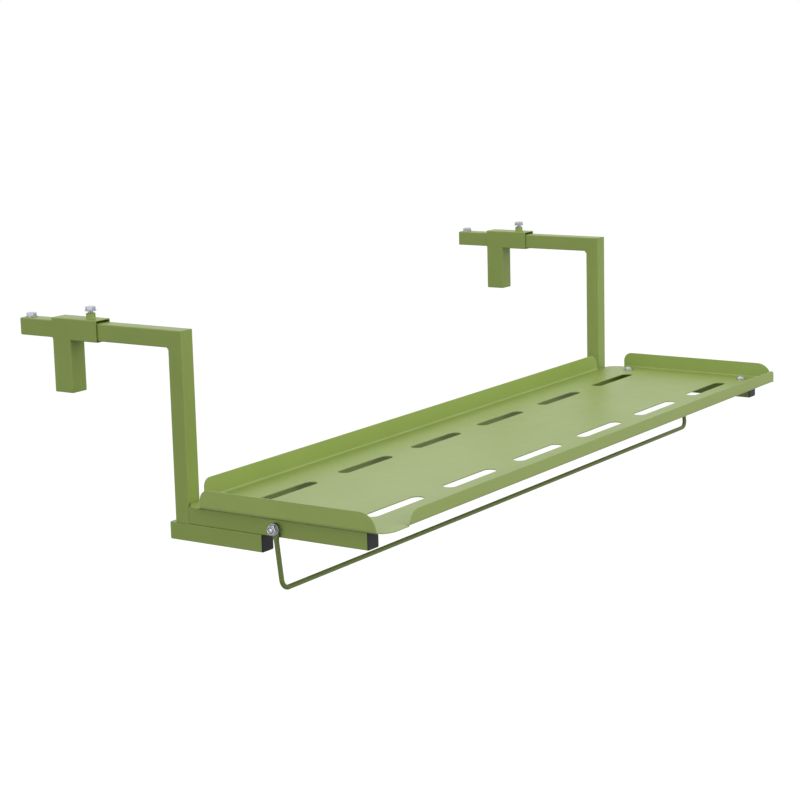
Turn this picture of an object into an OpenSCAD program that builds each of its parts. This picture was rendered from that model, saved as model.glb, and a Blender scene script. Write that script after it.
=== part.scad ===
// Bar table that hangs on a balcony railing: two tube brackets, a folded sheet tray,
// two sliding clamps with lock screws, and a swinging hanging rail under the tray.
// X runs along the tray, -Y points to the user, +Y to the railing, Z up.
// The origin is midway between the brackets, at the posts' rear faces,
// at the height of the railing's top edge.

/* [Brackets] */
// Distance between the outer faces of the two brackets
span = 1210; // [700:10:1600]
// Width of the square frame tube
tube_w = 25; // [20:1:30]
// Wall of the frame tube
tube_wall = 1.5; // [1:0.1:2.5]
// Outer corner radius of the frame tube
tube_r = 2; // [1.6:0.1:3]
// Length of the rail arm, from the post's front face to its outer end
rail_arm_len = 300; // [240:5:400]
// Height of the railing's top above the tray arm's underside
drop = 246; // [160:2:360]
// Distance from the tray's front to the tray arms' front ends
tray_arm_inset = 39.3; // [-60:0.1:90]
// Length of the foot tube under the post and the tray arm
foot_len = 160; // [120:5:180]
// How far the foot tube reaches behind the post
foot_back = 10; // [0:1:30]
// Leg of the weld in the corner under the rail arm
weld_leg = 5; // [3:0.5:8]

/* [Cross tube] */
// Distance from the posts' front faces to the cross tube
cross_gap = 20; // [5:1:45]
// Height of the cross tube
cross_h = 25; // [15:1:30]
// Depth of the cross tube
cross_d = 25; // [15:1:30]

/* [Clamps] */
// Width of the sleeve and leg tube
sleeve_w = 30; // [28:0.5:36]
// Height of the sleeve
sleeve_h = 31.5; // [29:0.5:36]
// Wall of the sleeve and leg tube
sleeve_wall = 1.5; // [1:0.1:2]
// Length of the sleeve
sleeve_len = 84; // [70:1:110]
// Distance from the sleeve to the stop bolt's axis
sleeve_at = 52.5; // [10:0.5:150]
// Depth of the leg tube
leg_d = 34; // [28:0.5:40]
// Length of the leg below the sleeve
leg_len = 74; // [40:1:110]
// Thickness of the plate that closes the leg
leg_plate_t = 2; // [1:0.5:4]
// Distance from the sleeve's front end to the lock screw
lock_at = 22; // [16:1:30]
// Diameter of the threaded boss
boss_d = 13.5; // [12:0.5:18]
// Height of the threaded boss
boss_h = 8; // [6:0.5:14]
// Height of the weld around the boss
boss_weld = 2.5; // [1:0.5:3]
// Distance from the rail arm's outer end to the stop bolt
stop_at = 11; // [10:1:20]

/* [Tray] */
// Length of the tray, outside
tray_len = 1240; // [720:10:1640]
// Depth of the tray, outside
tray_d = 339; // [280:1:400]
// Thickness of the sheet
sheet_t = 1.5; // [1:0.1:2.5]
// Inner radius of the folds
fold_r = 3.5; // [2:0.5:6]
// Height of the side flanges, outside
flange_h = 28; // [20:1:45]
// Height of the back flange, outside
back_h = 30; // [20:1:45]
// Height of the front flange, outside
front_h = 21; // [15:1:30]
// Radius of the tray's flat corners
corner_r = 28; // [15:1:35]
// Distance from the tray's ends to the back flange's ends
back_inset = 49; // [40:1:70]
// Distance from the tray's left end to the front flange's left end
front_left_inset = 60; // [20:1:70]
// Distance from the tray's right end to the front flange's right end
front_right_inset = 22; // [20:1:70]
// Distance from the tray's front to the side flanges' ends
side_front_inset = 14; // [12:1:25]
// Distance from the tray's back to the side flanges' ends
side_back_inset = 32; // [20:1:40]
// Radius of the side flanges' front ends
side_front_r = 26; // [6:1:28]
// Radius of the side flanges' back ends
side_back_r = 15; // [6:1:20]
// Radius of the back flange's left end
back_left_r = 12; // [6:1:20]
// Radius of the back flange's right end
back_right_r = 26; // [6:1:28]
// Radius of the front flange's left end
front_left_r = 20; // [6:1:20]
// Radius of the front flange's right end
front_right_r = 8; // [6:1:20]
// Width of the relief slits at the ends of the folds
relief_w = 3; // [2:0.5:5]

/* [Slots] */
// Slots in each row
slot_count = 6; // [3:1:8]
// Distance from slot to slot
slot_pitch = 193.5; // [150:0.5:220]
// Length of a slot
slot_len = 129; // [60:1:140]
// Width of a slot
slot_w = 20; // [8:1:24]
// Distance from the tray's back to the back row
slot_back = 76.5; // [65:0.5:100]
// Distance from the back row to the front row
slot_rows = 186; // [120:0.5:195]
// How far the back row sits to the right of the front row
slot_shift = 4.5; // [0:0.5:20]

/* [Hanging rail] */
// Diameter of the rod
rod_d = 7; // [5:0.5:8]
// Distance from the pivot down to the rod's run
rod_drop = 83; // [60:1:120]
// Bend radius of the rod, to its centre
rod_bend = 13; // [10:1:30]
// Angle at which the rail hangs, towards the user
rod_tilt = 6.7; // [0:0.1:15]
// Distance from the posts' front faces to the pivot
pivot_at = 152; // [120:1:200]
// Radius of the flattened eye
eye_r = 8.5; // [7.5:0.5:12]
// Thickness of the flattened eye
eye_t = 4; // [3:0.5:5]

/* [Fasteners] */
// Diameter of the bolts
bolt_d = 8; // [6:1:8]
// Width across flats of bolt heads and nuts
hex_af = 13; // [10:1:14]
// Height of a hex head
head_h = 4.8; // [4:0.1:6]
// Height of a lock nut
nut_h = 7; // [6:0.1:9]
// Outer diameter of a washer
washer_d = 16.5; // [14:0.5:18]
// Thickness of a washer
washer_t = 1.6; // [1:0.1:2]
// Height of the lock screw's washer above the boss
lock_gap = 3; // [1:0.5:5]
// Distance from the tray's back to the rear tray bolts
tray_bolt_back = 55; // [45:1:65]
// Distance from the tray's front to the front tray bolts
tray_bolt_front = 60; // [45:1:135]
// Diameter of a tray bolt's domed head
dome_d = 14; // [12:0.5:15]
// Height of a tray bolt's domed head
dome_h = 4.4; // [3:0.1:5]

/* [Hidden] */

left = -1;
right = 1;
$fn = 48;
// Overrun of every cut past the face that it opens
cut = 1;
// Gap between two bodies that slide or turn on each other
run_gap = 0.3;
// Gap between the lock screw's head and its washer
head_gap = 0.1;
// Radial clearance of a shaft that turns or slides in its bore
run_fit = 0.05;
// Radial clearance of a bolt in a drilled hole
hole_fit = 0.25;
// Clearance of a cap's stem in its tube, each side
cap_fit = 0.1;
// Smallest corner radius inside a tube
inner_r = 0.4;

// Colours
green = [0.53, 0.6, 0.33];
zinc = [0.78, 0.78, 0.8];
black = [0.13, 0.13, 0.14];

// Frame places
arm_x = (span - tube_w) / 2;
rail_end = rail_arm_len - tube_w;
arm_top = tube_w - drop;
post_front = -tube_w;
foot_end = foot_back - foot_len;
cap_t = 1.5;
cap_stem = 12;
plug_gap = 1;
plug_stem = stop_at - bolt_d / 2 - plug_gap;

// Clamp places
stop_y = rail_end - stop_at;
sleeve_y = stop_y - sleeve_at - sleeve_len;
sleeve_z = -run_gap - sleeve_wall;
leg_y = sleeve_y + sleeve_len - leg_d / 2;
leg_bottom = sleeve_z - leg_len;
lock_y = sleeve_y + lock_at;
boss_z = sleeve_z + sleeve_h;
lock_washer_z = boss_z + boss_h + lock_gap;
lock_head_z = lock_washer_z + washer_t + head_gap;
lock_tip_z = tube_w + run_gap;
stop_stem = 20;

// Tray places
tray_gap = 0.3;
rivet_flange_t = 1.5;
rivet_body_d = bolt_d + 3;
rivet_body_h = 16;
rivet_bulge_d = rivet_body_d + 2.5;
rivet_bulge_h = 4;
spacer_t = 1.5;
tray_back = post_front - tray_gap;
tray_front = tray_back - tray_d;
tray_arm_end = tray_front + tray_arm_inset;
tray_arm_len = post_front - tray_arm_end;
sheet_z = arm_top + rivet_flange_t + spacer_t;
floor_z = sheet_z + sheet_t;
fold_o = fold_r + sheet_t;
tray_bolt_ys = [tray_back - tray_bolt_back, tray_front + tray_bolt_front];
tray_bolt_stem = 20;

// The four folds, seen from the tray's middle: where each starts and which way it runs,
// then its length, height and the radii of its first and second end
side_len = tray_d - side_front_inset - side_back_inset;
back_len = tray_len - 2 * back_inset;
front_len = tray_len - front_left_inset - front_right_inset;
FOLDS = [
    [front_left_inset - tray_len / 2, -tray_d / 2, 0, front_len, front_h, front_left_r, front_right_r],
    [tray_len / 2, side_front_inset - tray_d / 2, 90, side_len, flange_h, side_front_r, side_back_r],
    [back_len / 2, tray_d / 2, 180, back_len, back_h, back_right_r, back_left_r],
    [-tray_len / 2, tray_d / 2 - side_back_inset, 270, side_len, flange_h, side_back_r, side_front_r]
];

// Hanging rail places
pivot_y = post_front - pivot_at;
pivot_z = arm_top - tube_w / 2;
arm_face = span / 2;
eye_x = arm_face + washer_t + run_gap;
rod_x = eye_x + eye_t / 2;
outer_washer_x = eye_x + eye_t + run_gap;
pivot_nut_x = outer_washer_x + washer_t;
neck_len = 2.2 * eye_r;
// Share of the neck that the round rod laps
neck_lap_share = 0.35;
bolt_r = bolt_d / 2;
rod_r = rod_d / 2;
bolt_end = 0.5;
nut_collar_h = 2;
nut_collar_d = 0.9 * hex_af;

// Rectangle with rounded corners, centred
module soft_block(a, b, r) {
    square([a, b - 2 * r], center = true);
    square([a - 2 * r, b], center = true);
    for (x = [-1, 1], y = [-1, 1])
        translate([x * (a / 2 - r), y * (b / 2 - r)])
            circle(r);
}

module soft_square(w, r) {
    soft_block(w, w, r);
}

// Tube of width w and depth d along +Z, from z = 0
module tube_z(w, d, wall, r, len) {
    linear_extrude(len)
        difference() {
            soft_block(w, d, r);
            soft_block(w - 2 * wall, d - 2 * wall, max(r - wall, inner_r));
        }
}

// Tube of width w and height h along +Y, from y = 0, with its underside at z = 0
module tube_y(w, h, wall, r, len) {
    translate([0, len, h / 2])
        rotate([90, 0, 0])
            tube_z(w, h, wall, r, len);
}

// Half space below the mitre plane of rail arm and post, where y + z is under 0
module below_mitre() {
    reach = 2 * (span + drop);
    rotate([-45, 0, 0])
        translate([-reach / 2, -reach / 2, -reach])
            cube(reach);
}

// Hexagonal prism along +Z with an optional bore
module hex_z(h, bore_r = 0) {
    difference() {
        cylinder(r = hex_af / 2 / cos(30), h = h, $fn = 6);
        if (bore_r > 0)
            translate([0, 0, -cut])
                cylinder(r = bore_r, h = h + 2 * cut);
    }
}

// Flat ring along +Z
module ring_z(outer_d, bore_r, h) {
    difference() {
        cylinder(d = outer_d, h = h);
        translate([0, 0, -cut])
            cylinder(r = bore_r, h = h + 2 * cut);
    }
}

// Axis along +X, away from the middle on either side
module outward(side) {
    rotate([0, side * 90, 0])
        children();
}

// Brackets

module rail_arm(side) {
    color(green)
        difference() {
            translate([side * arm_x, post_front, 0])
                tube_y(tube_w, tube_w, tube_wall, tube_r, rail_arm_len);
            below_mitre();
            translate([side * arm_x, stop_y, tube_w - tube_wall - cut])
                cylinder(r = bolt_r + run_fit, h = tube_wall + 2 * cut);
        }
}

module post(side) {
    color(green)
        intersection() {
            translate([side * arm_x, post_front / 2, -drop])
                tube_z(tube_w, tube_w, tube_wall, tube_r, drop + tube_w);
            below_mitre();
        }
}

module tray_arm(side) {
    color(green)
        difference() {
            translate([side * arm_x, tray_arm_end, arm_top - tube_w])
                tube_y(tube_w, tube_w, tube_wall, tube_r, tray_arm_len);
            for (y = tray_bolt_ys)
                translate([side * arm_x, y, arm_top - tube_wall - cut])
                    cylinder(r = rivet_body_d / 2 + run_fit, h = tube_wall + 2 * cut);
            translate([side * arm_x, pivot_y, pivot_z])
                rotate([0, 90, 0])
                    cylinder(r = bolt_r + hole_fit, h = tube_w + 2 * cut, center = true);
        }
}

module foot_tube(side) {
    color(green)
        translate([side * arm_x, foot_end, -drop - tube_w])
            tube_y(tube_w, tube_w, tube_wall, tube_r, foot_len);
}

// Weld across the corner between post and rail arm
module corner_weld(side) {
    weld_w = tube_w - 2 * tube_r;
    color(green)
        translate([side * arm_x - weld_w / 2, 0, 0])
            rotate([90, 0, 90])
                linear_extrude(weld_w)
                    polygon([[0, 0], [weld_leg, 0], [0, -weld_leg]]);
}

// Stem of a plastic cap, along +Y from y = 0, centred on the tube's axis
module cap_stem_y(len) {
    stem_w = tube_w - 2 * tube_wall - 2 * cap_fit;
    translate([0, len, 0])
        rotate([90, 0, 0])
            linear_extrude(len)
                soft_square(stem_w, inner_r);
}

// Cap with a flange over the tube's front end
module front_cap(x, y, z) {
    translate([x, y, z]) {
        cap_stem_y(cap_stem);
        rotate([90, 0, 0])
            linear_extrude(cap_t)
                soft_square(tube_w, tube_r);
    }
}

// Plug that sits flush in the tube's rear end
module rear_plug(x, y, z) {
    translate([x, y - plug_stem, z])
        cap_stem_y(plug_stem);
}

module end_caps(side) {
    x = side * arm_x;
    foot_mid = -drop - tube_w / 2;
    color(black) {
        front_cap(x, tray_arm_end, pivot_z);
        front_cap(x, foot_end, foot_mid);
        rear_plug(x, foot_back, foot_mid);
        rear_plug(x, rail_end, tube_w / 2);
    }
}

module stop_bolt(side) {
    color(zinc)
        translate([side * arm_x, stop_y, tube_w + washer_t]) {
            hex_z(head_h);
            translate([0, 0, -stop_stem])
                cylinder(r = bolt_r, h = stop_stem);
        }
}

module stop_washer(side) {
    color(zinc)
        translate([side * arm_x, stop_y, tube_w])
            ring_z(washer_d, bolt_r + hole_fit, washer_t);
}

// Clamps

module clamp_sleeve(side) {
    color(green)
        difference() {
            translate([side * arm_x, sleeve_y, sleeve_z])
                tube_y(sleeve_w, sleeve_h, sleeve_wall, tube_r, sleeve_len);
            translate([side * arm_x, lock_y, boss_z - sleeve_wall - cut])
                cylinder(r = bolt_r + hole_fit, h = sleeve_wall + 2 * cut);
        }
}

module clamp_leg(side) {
    color(green)
        translate([side * arm_x, leg_y, leg_bottom])
            tube_z(sleeve_w, leg_d, sleeve_wall, tube_r, leg_len);
}

module leg_plate(side) {
    color(green)
        translate([side * arm_x, leg_y, leg_bottom - leg_plate_t])
            linear_extrude(leg_plate_t)
                soft_block(sleeve_w, leg_d, tube_r);
}

module lock_boss(side) {
    color(green)
        translate([side * arm_x, lock_y, boss_z])
            difference() {
                union() {
                    cylinder(d = boss_d, h = boss_h);
                    cylinder(r1 = boss_d / 2 + boss_weld, r2 = boss_d / 2, h = boss_weld);
                }
                translate([0, 0, -cut])
                    cylinder(r = bolt_r + run_fit, h = boss_h + 2 * cut);
            }
}

module lock_washer(side) {
    color(zinc)
        translate([side * arm_x, lock_y, lock_washer_z])
            ring_z(washer_d, bolt_r + run_fit, washer_t);
}

module lock_screw(side) {
    stem = lock_head_z - lock_tip_z;
    color(zinc)
        translate([side * arm_x, lock_y, lock_head_z]) {
            hex_z(head_h);
            translate([0, 0, -stem])
                cylinder(r = bolt_r, h = stem);
        }
}

// Fasteners that hold the hanging rail

module pivot_bolt(side) {
    head_x = arm_face - tube_w;
    color(zinc)
        translate([side * head_x, pivot_y, pivot_z])
            outward(side) {
                translate([0, 0, -head_h])
                    hex_z(head_h);
                cylinder(r = bolt_r, h = pivot_nut_x + nut_h + bolt_end - head_x);
            }
}

module pivot_washers(side) {
    color(zinc)
        for (x = [arm_face, outer_washer_x])
            translate([side * x, pivot_y, pivot_z])
                outward(side)
                    ring_z(washer_d, bolt_r + hole_fit, washer_t);
}

module pivot_nut(side) {
    color(zinc)
        translate([side * pivot_nut_x, pivot_y, pivot_z])
            outward(side) {
                hex_z(nut_h - nut_collar_h, bolt_r + run_fit);
                translate([0, 0, nut_h - nut_collar_h])
                    ring_z(nut_collar_d, bolt_r + run_fit, nut_collar_h);
            }
}

// Cross tube and tray

module cross_tube() {
    cross_len = span - 2 * tube_w;
    cross_y = post_front - cross_gap - cross_d / 2;
    color(green)
        translate([-cross_len / 2, cross_y, arm_top - cross_h / 2])
            rotate([0, 90, 0])
                linear_extrude(cross_len)
                    difference() {
                        soft_block(cross_h, cross_d, tube_r);
                        soft_block(cross_h - 2 * tube_wall, cross_d - 2 * tube_wall, inner_r);
                    }
}

// Section across a flange, with its outer face and underside at 0 and the tray towards +X
module flange_section(h) {
    translate([fold_o, fold_o])
        intersection() {
            difference() {
                circle(fold_o);
                circle(fold_r);
            }
            translate([-fold_o - cut, -fold_o - cut])
                square(fold_o + cut);
        }
    translate([0, fold_o])
        square([sheet_t, h - fold_o]);
}

// What a rounding of radius r takes off an upper left corner at (0, r)
module corner_waste(r) {
    difference() {
        translate([-cut, 0])
            square(r + cut);
        translate([r, 0])
            circle(r);
    }
}

// Outline of a flange seen square on, rounded at both upper corners
module flange_outline(len, h, r_first, r_second) {
    difference() {
        square([len, h]);
        translate([0, h - r_first])
            corner_waste(r_first);
        translate([len, h - r_second])
            mirror([1, 0])
                corner_waste(r_second);
    }
}

// Flange along +X from x = 0, with its outer face at y = 0 and the tray towards +Y
module flange(len, h, r_first, r_second) {
    intersection() {
        rotate([90, 0, 90])
            linear_extrude(len)
                flange_section(h);
        translate([0, fold_o + cut, 0])
            rotate([90, 0, 0])
                linear_extrude(fold_o + 2 * cut)
                    flange_outline(len, h, r_first, r_second);
    }
}

// What a fold of this length and its relief slits take off the flat sheet
module fold_waste(len) {
    translate([-relief_w, -cut])
        square([len + 2 * relief_w, fold_o + cut]);
    for (x = [-relief_w / 2, len + relief_w / 2])
        translate([x, fold_o])
            circle(d = relief_w);
}

module slot_outline() {
    square([slot_len - slot_w, slot_w], center = true);
    for (x = [-1, 1])
        translate([x * (slot_len - slot_w) / 2, 0])
            circle(d = slot_w);
}

// Flat floor of the tray with its rounded ears, slots and bolt holes
module tray_floor() {
    back_edge = tray_d / 2;
    linear_extrude(sheet_t)
        difference() {
            soft_block(tray_len, tray_d, corner_r);
            for (f = FOLDS)
                translate([f[0], f[1]])
                    rotate(f[2])
                        fold_waste(f[3]);
            for (i = [0 : slot_count - 1], row = [0, 1])
                translate([(i - (slot_count - 1) / 2) * slot_pitch + (1 - row) * slot_shift,
                           back_edge - slot_back - row * slot_rows])
                    slot_outline();
            for (x = [-arm_x, arm_x], y = [back_edge - tray_bolt_back, tray_bolt_front - back_edge])
                translate([x, y])
                    circle(bolt_r + hole_fit);
        }
}

module tray() {
    color(green)
        translate([0, tray_back - tray_d / 2, sheet_z]) {
            tray_floor();
            for (f = FOLDS)
                translate([f[0], f[1], 0])
                    rotate([0, 0, f[2]])
                        flange(f[3], f[4], f[5], f[6]);
        }
}

// Puts children at each tray bolt, at height z
module at_tray_bolts(z) {
    for (x = [-arm_x, arm_x], y = tray_bolt_ys)
        translate([x, y, z])
            children();
}

// Domed head as a cap of a ball, with the stem below it
module dome_bolt(stem) {
    dome_r = (pow(dome_d / 2, 2) + pow(dome_h, 2)) / (2 * dome_h);
    rotate_extrude()
        intersection() {
            translate([0, dome_h - dome_r])
                circle(dome_r);
            square([dome_d, dome_h]);
        }
    translate([0, 0, -stem])
        cylinder(r = bolt_r, h = stem);
}

module tray_bolts() {
    color(zinc)
        at_tray_bolts(floor_z + washer_t)
            dome_bolt(tray_bolt_stem);
}

module tray_washers() {
    color(zinc)
        at_tray_bolts(floor_z)
            ring_z(washer_d, bolt_r + hole_fit, washer_t);
}

module tray_spacers() {
    color(zinc)
        at_tray_bolts(sheet_z - spacer_t)
            ring_z(washer_d, bolt_r + hole_fit, spacer_t);
}

// Threaded rivet: a flange on the arm, a body through its wall and a bulge under it
module rivet_nut() {
    difference() {
        union() {
            cylinder(d = washer_d, h = rivet_flange_t);
            translate([0, 0, -rivet_body_h])
                cylinder(d = rivet_body_d, h = rivet_body_h);
            translate([0, 0, -tube_wall - rivet_bulge_h])
                cylinder(d1 = rivet_body_d, d2 = rivet_bulge_d, h = rivet_bulge_h);
        }
        translate([0, 0, -rivet_body_h - cut])
            cylinder(r = bolt_r + run_fit, h = rivet_body_h + rivet_flange_t + 2 * cut);
    }
}

module tray_rivet_nuts() {
    color(zinc)
        at_tray_bolts(arm_top)
            rivet_nut();
}

// Hanging rail

// Quarter bend in the XZ plane about the origin, from this angle on
module rod_corner(angle) {
    rotate([90, 0, 0])
        rotate([0, 0, angle])
            rotate_extrude(angle = 90)
                translate([rod_bend, 0])
                    circle(rod_r);
}

// Flattened eye and neck at the pivot, the sheet of it centred on the rod's axis
module rod_eye(side) {
    translate([side * rod_x - eye_t / 2, 0, 0])
        rotate([90, 0, 90])
            linear_extrude(eye_t)
                difference() {
                    union() {
                        circle(eye_r);
                        polygon([[-eye_r, 0], [-rod_r, -neck_len], [rod_r, -neck_len], [eye_r, 0]]);
                    }
                    circle(bolt_r + run_fit);
                }
}

module hanging_rail() {
    bend_x = rod_x - rod_bend;
    bend_z = rod_bend - rod_drop;
    leg_top = -neck_len * (1 - neck_lap_share);
    color(green)
        translate([0, pivot_y, pivot_z])
            rotate([-rod_tilt, 0, 0]) {
                for (side = [left, right]) {
                    rod_eye(side);
                    translate([side * rod_x, 0, bend_z])
                        cylinder(r = rod_r, h = leg_top - bend_z);
                }
                translate([-bend_x, 0, bend_z])
                    rod_corner(180);
                translate([bend_x, 0, bend_z])
                    rod_corner(270);
                translate([-bend_x, 0, -rod_drop])
                    rotate([0, 90, 0])
                        cylinder(r = rod_r, h = 2 * bend_x);
            }
}

rail_arm(left);  // left_rail_arm
post(left);  // left_post
tray_arm(left);  // left_tray_arm
foot_tube(left);  // left_foot_tube
corner_weld(left);  // left_corner_weld
end_caps(left);  // left_end_caps
stop_bolt(left);  // left_stop_bolt
stop_washer(left);  // left_stop_washer
clamp_sleeve(left);  // left_clamp_sleeve
clamp_leg(left);  // left_clamp_leg
leg_plate(left);  // left_leg_plate
lock_boss(left);  // left_lock_boss
lock_washer(left);  // left_lock_washer
lock_screw(left);  // left_lock_screw
pivot_bolt(left);  // left_pivot_bolt
pivot_washers(left);  // left_pivot_washers
pivot_nut(left);  // left_pivot_nut
rail_arm(right);  // right_rail_arm
post(right);  // right_post
tray_arm(right);  // right_tray_arm
foot_tube(right);  // right_foot_tube
corner_weld(right);  // right_corner_weld
end_caps(right);  // right_end_caps
stop_bolt(right);  // right_stop_bolt
stop_washer(right);  // right_stop_washer
clamp_sleeve(right);  // right_clamp_sleeve
clamp_leg(right);  // right_clamp_leg
leg_plate(right);  // right_leg_plate
lock_boss(right);  // right_lock_boss
lock_washer(right);  // right_lock_washer
lock_screw(right);  // right_lock_screw
pivot_bolt(right);  // right_pivot_bolt
pivot_washers(right);  // right_pivot_washers
pivot_nut(right);  // right_pivot_nut
cross_tube();
tray();
tray_bolts();
tray_washers();
tray_spacers();
tray_rivet_nuts();
hanging_rail();
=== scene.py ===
"""Looks of a bar table that hangs on a balcony railing.

Everything is in metres. X runs along the tray, -Y points to the user and Z up. The origin lies
midway between the brackets, at the posts' rear faces and the height of the railing's top.
"""

import math

import bmesh
import bpy
import numpy as np
from mathutils import Matrix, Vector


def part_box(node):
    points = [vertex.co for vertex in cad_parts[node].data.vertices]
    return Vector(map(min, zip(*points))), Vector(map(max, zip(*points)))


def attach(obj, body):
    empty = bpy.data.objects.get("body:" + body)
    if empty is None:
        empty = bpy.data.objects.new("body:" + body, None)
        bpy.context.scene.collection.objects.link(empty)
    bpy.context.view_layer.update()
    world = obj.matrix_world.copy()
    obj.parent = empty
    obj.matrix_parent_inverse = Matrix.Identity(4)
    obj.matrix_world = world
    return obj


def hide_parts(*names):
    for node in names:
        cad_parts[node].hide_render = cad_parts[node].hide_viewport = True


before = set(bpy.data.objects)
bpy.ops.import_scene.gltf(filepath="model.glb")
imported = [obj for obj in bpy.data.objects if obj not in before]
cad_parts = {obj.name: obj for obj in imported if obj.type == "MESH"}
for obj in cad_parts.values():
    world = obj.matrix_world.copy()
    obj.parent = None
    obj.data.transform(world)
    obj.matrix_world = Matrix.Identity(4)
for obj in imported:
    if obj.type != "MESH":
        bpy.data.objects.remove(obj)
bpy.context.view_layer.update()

bl_info = {
    "name": "Railing Bar Table",
    "version": (1, 0, 0),
    "blender": (4, 5, 0),
    "location": "View3D > Sidebar > Bar Table",
    "description": "Builds the painted tubes, tray, fasteners and stage of a railing bar table",
    "category": "Object",
}

SIDES = {"left": -1.0, "right": 1.0}
# Slots of the finishes
PAINT, ZINC, PLASTIC = "green_powder_coat", "zinc_plated_steel", "black_plastic"
# Points round a turned piece, and their angles
COLUMNS = 72
TURN = np.radians(np.arange(COLUMNS) * 360.0 / COLUMNS)
# Play round a bolt in a thread or bearing, and in a plain hole
THREAD_FIT = 0.00005
HOLE_FIT = 0.00025
# Caps: play in the tube, thickness of the face, length of the stem in front and at the rear
CAP_FIT, CAP_FACE, CAP_STEM, PLUG_STEM = 0.0001, 0.0015, 0.012, 0.006
# Length of a drill that goes through one wall, or through a whole tube
WALL_DRILL, TUBE_DRILL = 0.006, 0.08
# Radius on the edges of rings
RING_EDGE = 0.0003
# Slope of the chamfer on hex heads and nuts, and its circle as a share of their width
CHAMFER = math.tan(math.radians(30))
CHAMFER_CIRCLE = 0.475
# Hanging rail: radius of the rod and of its bends, thickness of the eyes
ROD_RADIUS, ROD_BEND, EYE_THICK = 0.0035, 0.013, 0.004
# Threaded rivets: radius of the neck, thickness of the flange
RIVET_NECK, RIVET_FLANGE = 0.0055, 0.0015
# Angle from which an edge is sharp
SHARP = 40.0
# Floor: its tone for the camera and for other rays, and its glow where it is seen
FLOOR_SEEN, FLOOR_UNSEEN, FLOOR_GLOW = (0.35,) * 3, (0.03,) * 3, 0.8
# Lamps: size and place; all face one point
LAMPS = {
    "top_lamp": (3.2, (0.9, 1.1, 2.4)),
    "front_lamp": (4.0, (0.5, -7.0, 1.5)),
    "left_lamp": (9.0, (-14.0, 0.8, 1.5)),
}
LAMP_TARGET = np.array([0.0, -0.2, -0.1])


def corners(node):
    """Lowest and highest corner of a CAD node as arrays."""
    low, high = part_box(node)
    return np.array(low), np.array(high)


# Sizes and colours


class BarTablePaint(bpy.types.PropertyGroup):
    """Finishes of the tubes, the tray and the plastic."""

    green: bpy.props.FloatVectorProperty(
        name="Paint", description="Colour of the powder coat", default=(0.255, 0.345, 0.068),
        size=3, min=0.0, max=1.0, subtype="COLOR",
    )
    green_dusty: bpy.props.FloatVectorProperty(
        name="Paint, dusty", description="Colour of the powder coat where it is a little paler",
        default=(0.272, 0.366, 0.076), size=3, min=0.0, max=1.0, subtype="COLOR",
    )
    gloss_roughness: bpy.props.FloatProperty(
        name="Paint roughness", description="Middle roughness of the powder coat",
        default=0.42, min=0.0, max=1.0, subtype="FACTOR",
    )
    # Paler tone of the tray's paint: painted light for the stronger light that falls on the tray's
    # sheet
    tray_painted_light_lift: bpy.props.FloatProperty(
        name="Tray tone", description="How much paler the paint is on the tray", default=1.14,
        min=0.5, max=1.5, subtype="FACTOR",
    )
    tray_gloss: bpy.props.FloatProperty(
        name="Tray gloss", description="Strength of the tray's gloss; 0.5 is plain paint",
        default=0.75, min=0.0, max=1.0, subtype="FACTOR",
    )
    # Darker tone of the rail's paint: painted shade for the shade under the tray
    rod_painted_shade_lift: bpy.props.FloatProperty(
        name="Rod tone", description="How much darker the paint is on the hanging rail",
        default=0.56, min=0.3, max=1.5, subtype="FACTOR",
    )
    rod_gloss: bpy.props.FloatProperty(
        name="Rod gloss", description="Strength of the rail's gloss; 0.5 is plain paint",
        default=0.35, min=0.0, max=1.0, subtype="FACTOR",
    )
    peel_size: bpy.props.FloatProperty(
        name="Peel size", description="Width of one dimple of the orange peel",
        default=0.0016, min=0.0002, max=0.01, unit="LENGTH",
    )
    peel_depth: bpy.props.FloatProperty(
        name="Peel depth", description="Depth of the orange peel",
        default=0.00003, min=0.0, max=0.001, precision=6, unit="LENGTH",
    )
    zinc: bpy.props.FloatVectorProperty(
        name="Zinc", description="Colour of the zinc plating", default=(0.5, 0.5, 0.56),
        size=3, min=0.0, max=1.0, subtype="COLOR",
    )
    plastic: bpy.props.FloatVectorProperty(
        name="Plastic", description="Colour of the caps", default=(0.009, 0.009, 0.01),
        size=3, min=0.0, max=1.0, subtype="COLOR",
    )


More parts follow.
